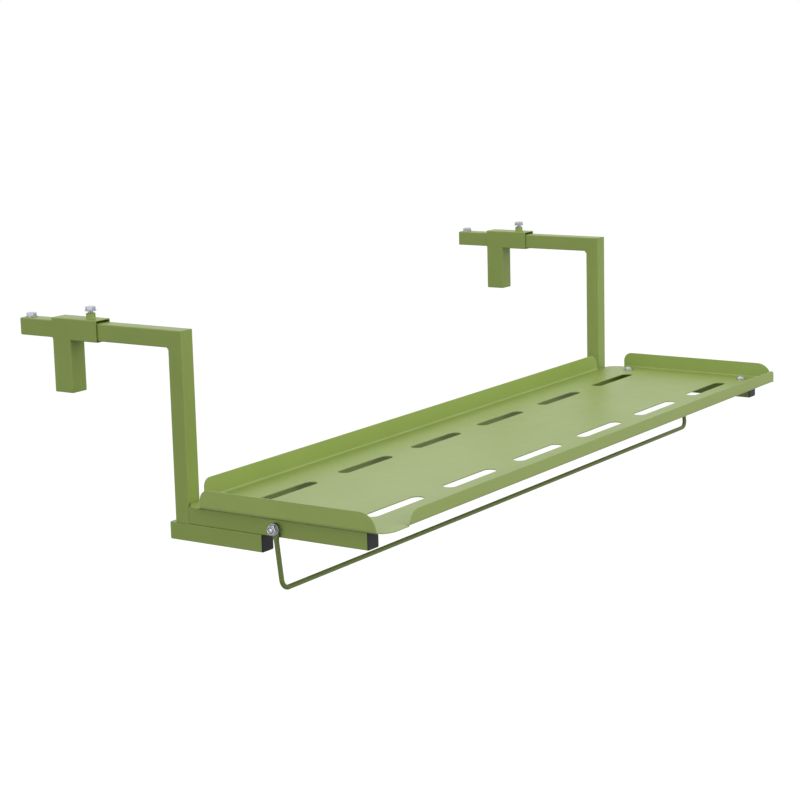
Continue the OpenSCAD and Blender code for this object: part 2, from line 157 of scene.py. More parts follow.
class BarTableShapes(bpy.types.PropertyGroup):
    """Small sizes that the scene gives to edges, threads and welds."""

    tube_wall: bpy.props.FloatProperty(
        name="Tube wall", description="Wall of the square tubes", default=0.0015, min=0.0005,
        max=0.004, unit="LENGTH",
    )
    tube_radius: bpy.props.FloatProperty(
        name="Tube corner", description="Outer corner radius of the square tubes",
        default=0.002, min=0.0005, max=0.005, unit="LENGTH",
    )
    edge: bpy.props.FloatProperty(
        name="Edge softness", description="Radius that the paint gives to a cut edge",
        default=0.0004, min=0.00005, max=0.0007, precision=5, unit="LENGTH",
    )
    seam: bpy.props.FloatProperty(
        name="Seam softness", description="Radius of a tube's rim where it is welded to another",
        default=0.00005, min=0.00001, max=0.0005, precision=6, unit="LENGTH",
    )
    sheet_edge: bpy.props.FloatProperty(
        name="Sheet edge", description="Radius on the edges of the tray's sheet",
        default=0.0003, min=0.00005, max=0.0007, precision=5, unit="LENGTH",
    )
    bolt_radius: bpy.props.FloatProperty(
        name="Bolt radius", description="Outer radius of the bolts' thread", default=0.004,
        min=0.002, max=0.006, unit="LENGTH",
    )
    thread_pitch: bpy.props.FloatProperty(
        name="Thread pitch", description="Rise of the thread in one turn", default=0.00125,
        min=0.0005, max=0.002, precision=5, unit="LENGTH",
    )
    thread_depth: bpy.props.FloatProperty(
        name="Thread depth", description="Depth of the thread", default=0.0006, min=0.0001,
        max=0.001, precision=5, unit="LENGTH",
    )
    head_flats: bpy.props.FloatProperty(
        name="Across flats", description="Width of hex heads and nuts across their flats",
        default=0.013, min=0.008, max=0.02, unit="LENGTH",
    )
    head_height: bpy.props.FloatProperty(
        name="Head height", description="Height of the hex heads", default=0.0048, min=0.003,
        max=0.01, unit="LENGTH",
    )
    washer_height: bpy.props.FloatProperty(
        name="Washer", description="Thickness of the washers", default=0.0016, min=0.0005,
        max=0.003, unit="LENGTH",
    )
    socket_flats: bpy.props.FloatProperty(
        name="Socket", description="Width of the socket in the tray bolts", default=0.005,
        min=0.002, max=0.008, unit="LENGTH",
    )
    ripple_pitch: bpy.props.FloatProperty(
        name="Weld ripple", description="Distance from ripple to ripple in a weld",
        default=0.0018, min=0.0005, max=0.005, unit="LENGTH",
    )


class BarTableStage(bpy.types.PropertyGroup):
    """Floor, lamps and camera."""

    floor_height: bpy.props.FloatProperty(
        name="Floor", description="Height of the balcony's floor", default=-1.05, min=-3.0,
        max=-0.3, unit="LENGTH",
    )
    daylight: bpy.props.FloatProperty(
        name="Daylight", description="Strength of the even light from all sides", default=0.55,
        min=0.0, max=3.0,
    )
    top_lamp: bpy.props.FloatProperty(
        name="Top lamp", description="Power of the large lamp above", default=21.0, min=0.0,
        max=1000.0, unit="POWER",
    )
    front_lamp: bpy.props.FloatProperty(
        name="Front lamp", description="Power of the lamp on the user's side", default=200.0,
        min=0.0, max=1000.0, unit="POWER",
    )
    left_lamp: bpy.props.FloatProperty(
        name="Left lamp", description="Power of the lamp at the table's left end", default=680.0,
        min=0.0, max=1000.0, unit="POWER",
    )
    camera_place: bpy.props.FloatVectorProperty(
        name="Camera", description="Where the camera stands",
        default=(-2.76443, -1.8456, 0.45958), size=3, subtype="TRANSLATION", unit="LENGTH",
    )
    azimuth: bpy.props.FloatProperty(
        name="Azimuth", description="Direction of the camera round the table",
        default=math.radians(-55.884), subtype="ANGLE", unit="ROTATION",
    )
    elevation: bpy.props.FloatProperty(
        name="Elevation", description="How far the camera looks down",
        default=math.radians(10.84), subtype="ANGLE", unit="ROTATION",
    )
    roll: bpy.props.FloatProperty(
        name="Roll", description="Tilt of the camera about its line of sight",
        default=math.radians(-1.472), subtype="ANGLE", unit="ROTATION",
    )
    lens: bpy.props.FloatProperty(
        name="Lens", description="Focal length on a 36 mm sensor, in millimetres", default=93.81,
        min=20.0, max=200.0,
    )


# Materials


def feed(tree, node, sockets):
    """Sets a node's sockets, or links them where the value is another node's output."""
    for name, value in sockets.items():
        if isinstance(value, bpy.types.NodeSocket):
            tree.links.new(value, node.inputs[name])
        else:
            node.inputs[name].default_value = value


def add_node(tree, kind, at, sockets=None, **settings):
    """Adds a node, sets its attributes and feeds its sockets, named or numbered."""
    node = tree.nodes.new(kind)
    node.location = at
    for name, value in settings.items():
        setattr(node, name, value)
    feed(tree, node, sockets or {})
    return node


def noise(tree, place, size, detail, at):
    """Noise with features of about this size in metres."""
    sockets = {"Vector": place, "Scale": 1.0 / size, "Detail": detail}
    return add_node(tree, "ShaderNodeTexNoise", at, sockets).outputs["Fac"]


def spread(tree, value, low, high, at):
    """Stretches the middle of a noise to the range from low to high."""
    sockets = {"Value": value, "From Min": 0.3, "From Max": 0.7, "To Min": low, "To Max": high}
    return add_node(tree, "ShaderNodeMapRange", at, sockets).outputs["Result"]


def two_tone(tree, value, dark, pale, at):
    """Colour between two tones, led by a value."""
    sockets = {0: value, 6: (*dark, 1.0), 7: (*pale, 1.0)}
    return add_node(tree, "ShaderNodeMix", at, sockets, data_type="RGBA").outputs[2]


def reckon(tree, operation, first, second, at):
    """Value worked out from two others."""
    node = add_node(tree, "ShaderNodeMath", at, {0: first, 1: second}, operation=operation)
    return node.outputs[0]


def coat(name, tone, rough, grain, metallic=0.0, gloss=0.5):
    """Material with a mottle of two tones, a wandering roughness and a fine grain.

    Each is a noise on Object coordinates, given by the size of its features in metres, its
    detail and what it leads: two tones, two roughnesses, or a depth in metres.
    """
    material = bpy.data.materials.new(name + "_finish")
    material.use_nodes = True
    tree = material.node_tree
    place = add_node(tree, "ShaderNodeTexCoord", (-1200, 0)).outputs["Object"]
    mottle = spread(tree, noise(tree, place, *tone[:2], (-1000, 200)), 0.0, 1.0, (-800, 200))
    haze = spread(tree, noise(tree, place, *rough[:2], (-1000, -50)), *rough[2:], (-800, -50))
    height = noise(tree, place, *grain[:2], (-1000, -300))
    relief = {"Strength": 1.0, "Distance": grain[2], "Height": height}
    feed(tree, tree.nodes["Principled BSDF"], {
        "Metallic": metallic, "Specular IOR Level": gloss, "Roughness": haze,
        "Base Color": two_tone(tree, mottle, *tone[2:], (-500, 200)),
        "Normal": add_node(tree, "ShaderNodeBump", (-500, -300), relief).outputs["Normal"],
    })
    return material


def powder_coat(paint, name=PAINT, painted_light_lift=1.0, gloss=0.5):
    """Satin powder coat: orange peel, a faint mottle of tone and a wandering gloss; the lift
    scales both tones, painting light above 1 and shade below 1.
    """
    tones = [[painted_light_lift * c for c in colour] for colour in (paint.green, paint.green_dusty)]
    return coat(
        name, (0.09, 3.0, *tones),
        (0.025, 2.0, paint.gloss_roughness - 0.02, paint.gloss_roughness + 0.02),
        (paint.peel_size, 2.0, paint.peel_depth), gloss=gloss,
    )


def tray_coat_with_painted_light(paint):
    """The same coat on the tray's sheet, a little glossier, and a little paler as painted light
    for the stronger light on the sheet.
    """
    return powder_coat(paint, "tray_powder_coat", paint.tray_painted_light_lift, paint.tray_gloss)


def rod_coat_with_painted_shade(paint):
    """The same coat on the hanging rail, duller, and darker as painted shade for the shade the
    tray casts on it.
    """
    return powder_coat(paint, "rod_powder_coat", paint.rod_painted_shade_lift, paint.rod_gloss)


def zinc_plate(paint):
    """Zinc plating: dull metal with a blotchy tone and fine grain."""
    return coat(
        ZINC, (0.003, 3.0, [0.84 * c for c in paint.zinc], paint.zinc),
        (0.003, 3.0, 0.26, 0.42), (0.0005, 2.0, 0.00001), metallic=1.0,
    )


def cap_plastic(paint):
    """Moulded plastic: near black with a fine pebbled grain."""
    return coat(
        PLASTIC, (0.006, 2.0, paint.plastic, [1.7 * c for c in paint.plastic]),
        (0.006, 2.0, 0.42, 0.56), (0.0007, 2.0, 0.00003), gloss=0.3,
    )


FINISHES = {
    PAINT: powder_coat,
    "tray_powder_coat": tray_coat_with_painted_light,
    "rod_powder_coat": rod_coat_with_painted_shade,
    ZINC: zinc_plate,
    PLASTIC: cap_plastic,
}


def finish_of(context, name):
    """The material of a finish, made once."""
    finish = bpy.data.materials.get(name + "_finish")
    return finish or FINISHES[name](context.scene.bar_table_paint)


# Surfaces


def skin(rows, ring=False):
    """Closed surface over a grid of points.

    Each point is joined to its neighbours by quads. The columns run round and close on
    themselves, and so do the rows of a ring; otherwise a fan closes the first and last row.
    """
    n, m = rows.shape[:2]
    points = rows.reshape(-1, 3)
    i = np.arange(n if ring else n - 1)[:, None]
    j = np.arange(m)[None, :]
    after = (i + 1) % n * m
    quads = np.stack([i * m + j, i * m + (j + 1) % m, after + (j + 1) % m, after + j], -1)
    quads = quads.reshape(-1, 4)
    if ring:
        return points, quads, np.zeros((0, 3), int)
    k, k_next = np.arange(m), (np.arange(m) + 1) % m
    first, last, top = np.full(m, n * m), np.full(m, n * m + 1), (n - 1) * m
    fans = np.vstack(
        [np.stack([first, k_next, k], -1), np.stack([last, top + k, top + k_next], -1)]
    )
    return np.vstack([points, rows[0].mean(0), rows[-1].mean(0)]), quads, fans


def outward(points, quads, fans):
    """Turns a closed surface round if its signed volume comes out negative."""
    faces = np.vstack([quads[:, [0, 1, 2]], quads[:, [0, 2, 3]], fans])
    a, b, c = (points[faces[:, k]] for k in range(3))
    if np.einsum("ij,ij->i", a, np.cross(b, c)).sum() < 0:
        return points, quads[:, ::-1], fans[:, ::-1]
    return points, quads, fans


def put_piece(context, name, shells, body, finish, nodes, smooth_angle=SHARP, inserts=()):
    """Joins shells into one piece, with plastic inserts, and hands it over."""
    points, faces, kinds, count = [], [], [], 0
    for kind, group in enumerate((shells, inserts)):
        for shell in group:
            v, quads, fans = outward(*shell)
            points.append(v)
            faces += (quads + count).tolist() + (fans + count).tolist()
            kinds += [kind] * (len(quads) + len(fans))
            count += len(v)
    mesh = bpy.data.meshes.new(name)
    mesh.from_pydata(np.vstack(points).tolist(), [], faces)
    mesh.materials.append(finish_of(context, finish))
    if inserts:
        mesh.materials.append(finish_of(context, PLASTIC))
        mesh.polygons.foreach_set("material_index", np.array(kinds, np.int32))
    mesh.update()
    return hand_over(context, name, mesh, body, nodes, smooth_angle)


def hand_over(context, name, mesh, body, nodes, smooth_angle=SHARP, bevel=0.0):
    """Shades a mesh and lets it ride on a body in place of its nodes."""
    mesh.shade_smooth()
    mesh.set_sharp_from_angle(angle=math.radians(smooth_angle))
    piece = bpy.data.objects.new(name, mesh)
    context.scene.collection.objects.link(piece)
    if bevel:
        soft = piece.modifiers.new("edges", "BEVEL")
        soft.width, soft.segments = bevel, 2
        soft.limit_method, soft.angle_limit = "ANGLE", math.radians(SHARP)
        soft.use_clamp_overlap = False
    piece.modifiers.new("even_normals", "WEIGHTED_NORMAL").keep_sharp = True
    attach(piece, body)
    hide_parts(*nodes)
    return piece


def lathe(radii, heights, centre, axis=2, flip=1.0):
    """Grid of points at these radii and heights about an axis through centre.

    A radius may change round the axis: r and z are rows by columns, and a point is
    centre + r cos(turn) a + r sin(turn) b + z c, with c along the axis.
    """
    r = np.broadcast_to(radii, np.broadcast_shapes(np.shape(radii), (1, COLUMNS)))
    z = np.broadcast_to(heights, r.shape) * flip
    local = np.stack([r * np.cos(TURN), r * np.sin(TURN), z], -1)
    order = {0: (2, 0, 1), 1: (1, 2, 0), 2: (0, 1, 2)}[axis]
    return local[..., order] + centre


def turned(profile, centre, axis=2, flip=1.0, ring=False):
    """Surface turned from rows of radius and height, which may change round the axis."""
    radii = np.vstack([np.broadcast_to(r, COLUMNS) for r, z in profile])
    heights = np.vstack([np.broadcast_to(z, COLUMNS) for r, z in profile])
    return skin(lathe(radii, heights, centre, axis, flip), ring)


def hex_reach(flats):
    """Distance from a hexagon's middle to its edge in each direction.

    Half the width across flats over the cosine of the angle from the nearest flat's middle.
    """
    return flats / 2 / np.cos((TURN % math.radians(60)) - math.radians(30))


def rounded_loop(low, high, edge, steps=4):
    """Closed outline of an upright rectangle in radius and height.

    Each corner is a quarter circle: its centre, set in by the edge's radius, plus that radius
    times cosine and sine.
    """
    (r0, z0), (r1, z1) = low, high
    angle = np.radians(np.linspace(0, 90, steps + 1))
    arcs = [
        (r1 - edge, z0 + edge, 270), (r1 - edge, z1 - edge, 0), (r0 + edge, z1 - edge, 90),
        (r0 + edge, z0 + edge, 180),
    ]
    loop = [
        np.stack([r + edge * np.cos(angle + math.radians(a)),
                  z + edge * np.sin(angle + math.radians(a))], -1)
        for r, z, a in arcs
    ]
    return np.vstack(loop)


def ring_shell(low, high, edge, centre, axis=2, flip=1.0):
    """Flat ring: a rounded rectangle carried round an axis."""
    loop = rounded_loop(low, high, edge)
    return skin(lathe(loop[:, :1], loop[:, 1:], centre, axis, flip), ring=True)


def thread_rows(shapes, low, high, per_turn=10):
    """Radii and heights of a threaded shaft.

    The ridge is a wave of the height over the pitch less the turn, cut flat at its crest and
    root, and it fades out at both ends.
    """
    pitch = shapes.thread_pitch
    n = int(math.ceil((high - low) / pitch * per_turn)) + 1
    z = np.linspace(low, high, n)[:, None]
    wave = np.abs(2 * ((z / pitch - TURN / (2 * math.pi)) % 1.0) - 1)
    fade = np.clip(np.minimum(z - low, high - z) / pitch, 0, 1)
    ridge = np.clip(1.5 * wave - 0.25, 0, 1) * fade
    return list(zip(shapes.bolt_radius - shapes.thread_depth * (1 - ridge), z))


def head_rows(flats, height, under):
    """Radii and heights of a hex head from its underside at the bolt to its flat top.

    The sides follow the hexagon. Both ends are turned to a cone of 30 degrees, so the height
    drops by tan 30 of what the hexagon reaches past the chamfer circle.
    """
    reach = hex_reach(flats)
    circle = CHAMFER_CIRCLE * flats
    drop = np.clip(reach - circle, 0, None) * CHAMFER
    soft = 0.03 * height
    face = reach - soft
    rim = np.minimum(face, circle)
    return [
        (under, 0.0), (circle - soft, 0.0), (rim, 0.0), (face, 0.6 * drop),
        (reach, 0.6 * drop + soft), (reach, height - drop - soft), (face, height - drop),
        (rim, height), (circle - 4 * soft, height), (circle - 8 * soft, height - soft),
        (0.2 * flats, height - soft),
    ]


def hex_bolt(shapes, stem, centre, axis=2, flip=1.0):
    """Hex bolt with its underside at centre: stem tip, thread and head on one surface."""
    radius, depth = shapes.bolt_radius, shapes.thread_depth
    tip = [(radius - 2.2 * depth, -stem), (radius - depth, depth - stem)]
    thread = thread_rows(shapes, depth - stem, 0.0)[1:]
    head = head_rows(shapes.head_flats, shapes.head_height, radius)
    return turned(tip + thread + head, centre, axis, flip)


def put_bolt(context, side, bolt, washer, bodies, fit):
    """Upright hex bolt and its washer; returns the middle of the washer's underside."""
    shapes = context.scene.bar_table_shapes
    low, high = corners(f"{side}_{bolt}")
    under = high[2] - shapes.head_height
    centre = np.array([*(low + high)[:2] / 2, under])
    put_piece(
        context, f"{side}_{bolt}_threaded", [hex_bolt(shapes, under - low[2], centre)],
        bodies[0], ZINC, [f"{side}_{bolt}"],
    )
    low, high = corners(f"{side}_{washer}")
    centre[2] = low[2]
    shell = ring_shell(
        (shapes.bolt_radius + fit, 0.0), ((high[0] - low[0]) / 2, high[2] - low[2]), RING_EDGE,
        centre,
    )
    put_piece(context, f"{side}_{washer}_ring", [shell], bodies[1], ZINC, [f"{side}_{washer}"])
    return centre


def block_outline(half, radius, steps=6):
    """Outline of a rounded block with these half widths: arcs about the four corner centres."""
    half_a, half_b = np.broadcast_to(half, 2)
    angle = np.radians(np.linspace(0, 90, steps + 1))
    arcs = []
    for k, (a, b) in enumerate([(1, 1), (-1, 1), (-1, -1), (1, -1)]):
        swing = angle + math.radians(90 * k)
        arcs.append(
            np.stack([a * (half_a - radius) + radius * np.cos(swing),
                      b * (half_b - radius) + radius * np.sin(swing)], -1)
        )
    return np.vstack(arcs)


def rim_steps(wall, edge, steps=4):
    """Way from the outer to the inner face over a rounded rim: inset share and setback.

    Two quarter circles: the inset is the edge times 1 - cos and the setback the edge times
    1 - sin of the angle, and the second mirrors the first about the wall's middle.
    """
    angle = np.radians(np.linspace(0, 90, steps + 1))
    first = np.stack([edge * (1 - np.cos(angle)), edge * (1 - np.sin(angle))], -1)
    second = np.stack([wall - first[::-1, 0], first[::-1, 1]], -1)
    both = np.vstack([first, second])
    return both[:, 0] / wall, both[:, 1]


def block_tube(low, high, axis, shapes, cut_low=None, cut_high=None, welded=()):
    """Tube with a block section between two corners along an axis, open at both ends.

    Outer and inner outline are blended over each rim, whose edges are quarter circles, tiny at
    a welded end. A cut gives the end's place along the axis for each point of the section, such
    as a mitre.
    """
    across = [(1, 2), (2, 0), (0, 1)][axis]
    centre = ((low + high) / 2)[list(across)]
    half = ((high - low) / 2)[list(across)]
    wall = shapes.tube_wall
    outer = block_outline(half, shapes.tube_radius)
    inner = block_outline(half - wall, max(shapes.tube_radius - wall, 0.0004))
    rims = [
        rim_steps(wall, shapes.seam if end in welded else shapes.edge) for end in ("high", "low")
    ]
    share = np.concatenate([rims[0][0], rims[1][0][::-1]])[:, None, None]
    setback_high, setback_low = rims[0][1][:, None], rims[1][1][::-1, None]
    section = outer * (1 - share) + inner * share + centre
    n = len(setback_high)
    start = low[axis] if cut_low is None else cut_low(section[n:])
    end = high[axis] if cut_high is None else cut_high(section[:n])
    place = np.vstack(
        [np.broadcast_to(end - setback_high, (n, len(outer))),
         np.broadcast_to(start + setback_low, (n, len(outer)))]
    )
    points = np.empty(section.shape[:2] + (3,))
    points[..., across[0]] = section[..., 0]
    points[..., across[1]] = section[..., 1]
    points[..., axis] = place
    return skin(points, ring=True)


def drill(piece, centre, radius, length, axis=2):
    """Cuts a round hole through a finished piece."""
    reach = np.array([-length / 2, length / 2])[:, None]
    rod = skin(lathe(np.full((2, 1), radius), reach, np.array(centre), axis))
    points, quads, fans = outward(*rod)
    mesh = bpy.data.meshes.new("drill")
    mesh.from_pydata(points.tolist(), [], quads.tolist() + fans.tolist())
    tool = bpy.data.objects.new("drill", mesh)
    bpy.context.scene.collection.objects.link(tool)
    cut = piece.modifiers.new("hole", "BOOLEAN")
    cut.object, cut.operation, cut.solver = tool, "DIFFERENCE", "EXACT"
    ready = piece.evaluated_get(bpy.context.evaluated_depsgraph_get())
    drilled = bpy.data.meshes.new_from_object(ready)
    piece.modifiers.remove(cut)
    old, piece.data = piece.data, drilled
    bpy.data.meshes.remove(old)
    bpy.data.objects.remove(tool)
    bpy.data.meshes.remove(mesh)


# Operators


class BarTableOperator(bpy.types.Operator):
    """Common ground of the operators that build the bar table's pieces."""

    bl_idname = "bar_table.base"
    bl_label = "Bar Table Piece"
    bl_options = {"REGISTER", "UNDO"}


class BuildFrameTubes(BarTableOperator):
    """Square tubes of both brackets and the cross tube, with mitred corner and soft rims"""

    bl_idname = "bar_table.frame_tubes"
    bl_label = "Frame Tubes"

    def execute(self, context):
        shapes = context.scene.bar_table_shapes
        for side in SIDES:
            arm, post = corners(side + "_rail_arm"), corners(side + "_post")
            mitre = post[0][1] + arm[1][2]
            shells = {
                "rail_arm": block_tube(
                    *arm, 1, shapes, cut_low=lambda s: mitre - s[..., 0], welded=("low",)
                ),
                "post": block_tube(
                    *post, 2, shapes, cut_high=lambda s: mitre - s[..., 1], welded=("high",)
                ),
                "tray_arm": block_tube(
                    *corners(side + "_tray_arm"), 1, shapes, welded=("high",)
                ),
                "foot_tube": block_tube(*corners(side + "_foot_tube"), 1, shapes),
            }
            for part, shell in shells.items():
                node = f"{side}_{part}"
                put_piece(context, node + "_tube", [shell], "frame", PAINT, [node])
        shell = block_tube(*corners("cross_tube"), 0, shapes, welded=("low", "high"))
        put_piece(context, "cross_tube_painted", [shell], "frame", PAINT, ["cross_tube"])
        return {"FINISHED"}


class BuildCornerWelds(BarTableOperator):
    """Rippled weld in the corner under each rail arm"""

    bl_idname = "bar_table.corner_welds"
    bl_label = "Corner Welds"

    def execute(self, context):
        shapes = context.scene.bar_table_shapes
        for side in SIDES:
            low, high = corners(side + "_corner_weld")
            leg = high[1] - low[1]
            # Reach from the corner: a straight chamfer, leg over cos + sin of the swing, bulged
            # by sin of twice the swing with the ripples on it, and fading at both ends along a
            # quarter circle
            x = np.linspace(low[0], high[0], 90)[:, None]
            swing = np.radians(np.linspace(0, 90, 9))
            middle, half = (low[0] + high[0]) / 2, (high[0] - low[0]) / 2
            share = np.clip((half - np.abs(x - middle)) / (0.6 * leg), 0, 1)
            fade = 0.35 + 0.65 * np.sqrt(1 - (1 - share) ** 2)
            ripple = x + 0.25 * leg * np.sin(2 * swing)
            ripple = np.abs(np.sin(np.pi * ripple / shapes.ripple_pitch))
            reach = fade * leg / (np.cos(swing) + np.sin(swing))
            reach = reach * (0.97 + 0.22 * np.sin(2 * swing) * (0.75 + 0.25 * ripple))
            root = np.full_like(x, shapes.edge)
            y = low[1] + np.hstack([-root, reach * np.cos(swing)])
            z = high[2] + np.hstack([root, -reach * np.sin(swing)])
            y, z = np.minimum(y, high[1]), np.maximum(z, low[2])
            rows = np.stack([np.broadcast_to(x, y.shape), y, z], -1)
            put_piece(
                context, side + "_corner_weld_bead", [skin(rows)], "frame", PAINT,
                [side + "_corner_weld"], smooth_angle=60.0,
            )
        return {"FINISHED"}


class BuildClamps(BarTableOperator):
    """Sleeve, leg, closing plate and threaded boss of each clamp"""

    bl_idname = "bar_table.clamps"
    bl_label = "Clamps"

    def execute(self, context):
        shapes = context.scene.bar_table_shapes
        for side in SIDES:
            body = side + "_clamp"
            sleeve, leg = corners(side + "_clamp_sleeve"), corners(side + "_clamp_leg")
            # The leg's walls fill the rounding of the sleeve's lower corners
            leg[1][2] = sleeve[0][2] + shapes.tube_wall - shapes.seam
            at = sum(corners(side + "_lock_boss")) / 2
            piece = put_piece(
                context, side + "_clamp_sleeve_tube", [block_tube(*sleeve, 1, shapes)], body,
                PAINT, [side + "_clamp_sleeve"],
            )
            at[2] = sleeve[1][2]
            drill(piece, at, shapes.bolt_radius + HOLE_FIT, WALL_DRILL)
            put_piece(
                context, side + "_clamp_leg_tube",
                [block_tube(*leg, 2, shapes, welded=("low", "high"))], body,
                PAINT, [side + "_clamp_leg"],
            )
            self.close_leg(context, side, shapes)
            self.boss(context, side, shapes)
        return {"FINISHED"}

    def close_leg(self, context, side, shapes):
        """Plate under the leg: rounded block outlines stacked along Z.

        The lower edge is a quarter circle, in by 1 - sin and up by 1 - cos of the angle.
        """
        low, high = corners(side + "_leg_plate")
        middle, half = (low + high) / 2, (high[:2] - low[:2]) / 2
        angle = np.radians(np.linspace(0, 90, 5))
        soft = 2 * shapes.edge
        inset = np.concatenate(
            [[4 * soft], soft * (1 - np.sin(angle)), [0, 0, shapes.edge, 4 * soft]]
        )
        z = np.concatenate(
            [[low[2]], low[2] + soft * (1 - np.cos(angle)),
             [high[2] - shapes.edge, high[2] - shapes.edge, high[2], high[2]]]
        )
        outline = block_outline(half, shapes.tube_radius)
        shrink = 1 - inset[:, None, None] / half
        flat = outline * shrink + middle[:2]
        rows = np.concatenate([flat, np.broadcast_to(z[:, None, None], flat.shape[:2] + (1,))], -1)
        put_piece(
            context, side + "_leg_plate_painted", [skin(rows)], side + "_clamp",
            PAINT, [side + "_leg_plate"],
        )

    def boss(self, context, side, shapes):
        """Turned boss with a chamfer, standing in a fillet of weld that ripples round it.

        The fillet is a hollow quarter circle, out by 1 - sin and up by 1 - cos of the swing, and
        both are scaled by a cosine with 14 ripples a turn.
        """
        low, high = corners(side + "_lock_boss")
        height, weld, edge = high[2] - low[2], 0.0025, 0.0006
        radius = (high[0] - low[0]) / 2 - weld
        bore = shapes.bolt_radius + THREAD_FIT
        ripple = 0.5 + 0.5 * np.cos(14 * TURN + 0.8 * np.sin(3 * TURN))
        swing = np.radians(np.linspace(0, 90, 7))[:, None]
        fillet = zip(
            radius + weld * (0.72 + 0.28 * ripple) * (1 - np.sin(swing)) ** 0.8,
            weld * (1 - np.cos(swing)) * (0.9 + 0.1 * ripple),
        )
        profile = [
            *fillet, (radius, height - edge), (radius - 0.3 * edge, height - 0.3 * edge),
            (radius - edge, height), (bore + edge, height), (bore, height - edge), (bore, 0.0),
        ]
        centre = (low + high) / 2 * [1, 1, 0] + low * [0, 0, 1]
        put_piece(
            context, side + "_lock_boss_turned", [turned(profile, centre, ring=True)],
            side + "_clamp", PAINT, [side + "_lock_boss"], smooth_angle=50.0,
        )


class BuildLockScrews(BarTableOperator):
    """Lock screws with real threads, and their washers"""

    bl_idname = "bar_table.lock_screws"
    bl_label = "Lock Screws"

    def execute(self, context):
        for side in SIDES:
            bodies = side + "_lock_screw", side + "_lock_washer"
            put_bolt(context, side, "lock_screw", "lock_washer", bodies, THREAD_FIT)
        return {"FINISHED"}


class BuildStopBolts(BarTableOperator):
    """Stop bolts on the rail arms, with their washers"""

    bl_idname = "bar_table.stop_bolts"
    bl_label = "Stop Bolts"

    def execute(self, context):
        bore = context.scene.bar_table_shapes.bolt_radius + THREAD_FIT
        for side in SIDES:
            bodies = "frame", "frame"
            seat = put_bolt(context, side, "stop_bolt", "stop_washer", bodies, HOLE_FIT)
            drill(bpy.data.objects[side + "_rail_arm_tube"], seat, bore, WALL_DRILL)
        return {"FINISHED"}


class BuildPivots(BarTableOperator):
    """Pivot bolts of the hanging rail with their washers and lock nuts"""

    bl_idname = "bar_table.pivots"
    bl_label = "Pivots"

    def execute(self, context):
        shapes = context.scene.bar_table_shapes
        bore = shapes.bolt_radius + HOLE_FIT
        for side, sign in SIDES.items():
            inside, outside = (1, 0) if sign < 0 else (0, 1)
            bolt = corners(side + "_pivot_bolt")
            middle = sum(bolt) / 2
            under = bolt[inside][0] + sign * shapes.head_height
            shell = hex_bolt(
                shapes, abs(bolt[outside][0] - under), np.array([under, *middle[1:]]), 0, -sign
            )
            put_piece(
                context, side + "_pivot_bolt_threaded", [shell], "frame", ZINC,
                [side + "_pivot_bolt"],
            )
            face = corners(side + "_tray_arm")[outside][0]
            rings = corners(side + "_pivot_washers")
            wide, far = (rings[1][1] - rings[0][1]) / 2, rings[outside][0]
            thick = shapes.washer_height
            shells = [
                ring_shell((bore, 0.0), (wide, thick), RING_EDGE, np.array([x, *middle[1:]]), 0,
                           sign)
                for x in (face, far - sign * thick)
            ]
            put_piece(
                context, side + "_pivot_washer_rings", shells, "frame", ZINC,
                [side + "_pivot_washers"],
            )
            self.nut(context, side, sign, shapes, np.array([far, *middle[1:]]))
            drill(bpy.data.objects[side + "_tray_arm_tube"], middle, bore, TUBE_DRILL, axis=0)
        return {"FINISHED"}

    def nut(self, context, side, sign, shapes, centre):
        """Lock nut: chamfered hexagon, a round collar rolled over a nylon ring."""
        low, high = corners(side + "_pivot_nut")
        length, collar = high[0] - low[0], 0.002
        body = length - collar
        flats, bore = shapes.head_flats, shapes.bolt_radius + THREAD_FIT
        reach = hex_reach(flats)
        circle = CHAMFER_CIRCLE * flats
        drop = np.clip(reach - circle, 0, None) * CHAMFER
        lip, rim = 0.45 * flats, 0.00045
        profile = [
            (bore, RING_EDGE), (bore + RING_EDGE, 0.0), (np.minimum(reach, circle), 0.0),
            (reach, drop), (reach, body - drop), (np.minimum(reach, circle), body),
            (lip, body + 0.0001), (lip, length - 2 * rim), (lip - 0.3 * rim, length - 0.6 * rim),
            (lip - rim, length - 0.1 * rim), (lip - 2 * rim, length),
            (lip - 3 * rim, length - 0.5 * rim), (lip - 3.2 * rim, length - 2 * rim),
            (bore, length - 2 * rim),
        ]
        nylon = ring_shell(
            (bore, length - 2 * rim), (lip - 3.3 * rim, length - 1.2 * rim), 0.0001, centre, 0,
            sign,
        )
        put_piece(
            context, side + "_pivot_nut_locking", [turned(profile, centre, 0, sign, ring=True)],
            "frame", ZINC, [side + "_pivot_nut"], inserts=[nylon],
        )


